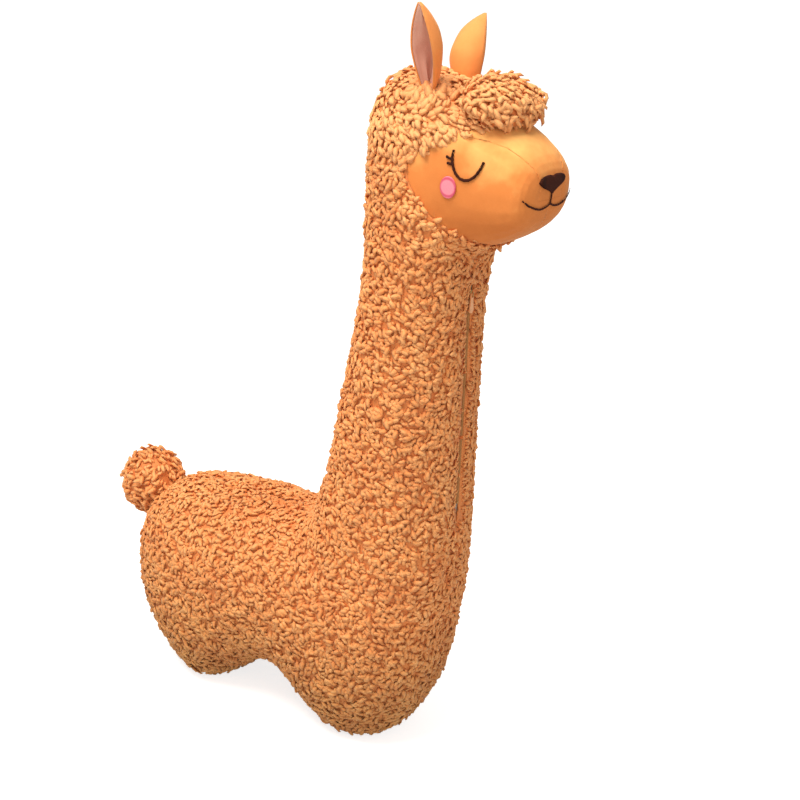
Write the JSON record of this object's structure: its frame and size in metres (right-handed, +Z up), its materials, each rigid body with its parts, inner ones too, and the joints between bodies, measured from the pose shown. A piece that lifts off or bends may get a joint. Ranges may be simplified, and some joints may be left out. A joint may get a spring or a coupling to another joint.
{
  "type": "plush alpaca",
  "caption": "Stuffed standing alpaca, its head turned a little to its right, with a curly coat, smooth face, folded ears, forelock, pompon tail, stitched smile and a zip down its long neck.",
  "frame": {"origin": "middle of the bounding box on the floor, under the belly arch, with the soles at Z = 0", "axes": "+Z up, +X the way the alpaca faces, +Y towards its left side"},
  "size_m": [0.6125, 0.2084, 1.021],
  "materials": {
    "fleece": "curly pile",
    "velour": "short smooth pile",
    "ear_velour": "short smooth pile",
    "ear_lining": "short smooth pile",
    "filling": "loose fibre",
    "dark_thread": "satin stitch",
    "pink_thread": "satin stitch",
    "zip_tape": "woven tape",
    "zip_metal": "polished",
    "puller_paint": "gloss enamel"
  },
  "bodies": {
    "toy": {"cheek_left": "pink_thread", "cheek_right": "pink_thread", "ear_left_back": "ear_velour", "ear_left_lining": "ear_lining", "ear_right_back": "ear_velour", "ear_right_lining": "ear_lining", "eye_left": "dark_thread", "eye_right": "dark_thread", "face_bridge": "velour", "face_left": "velour", "face_right": "velour", "fleece_left": "fleece", "fleece_right": "fleece", "forelock": "fleece", "mouth": "dark_thread", "nose": "dark_thread", "stuffing": "filling", "tail": "fleece", "zip_bottom_stop": "zip_metal", "zip_side_left": "zip_tape", "zip_side_right": "zip_tape", "zip_top_stop_left": "zip_metal", "zip_top_stop_right": "zip_metal"},
    "slider": {"zip_slider": "zip_metal"},
    "puller": {"zip_puller": "puller_paint"}
  },
  "joints": [
    {"name": "zip_slide", "type": "slide", "parent": "toy", "child": "slider", "axis": [0.0701, 0, -0.9975], "range_m": [0, 0.279]},
    {"name": "puller_hinge", "type": "hinge", "parent": "slider", "child": "puller", "pos_m": [0.20443, 0, 0.65761], "axis": [0, -1, 0], "range_deg": [0, 150]}
  ]
}
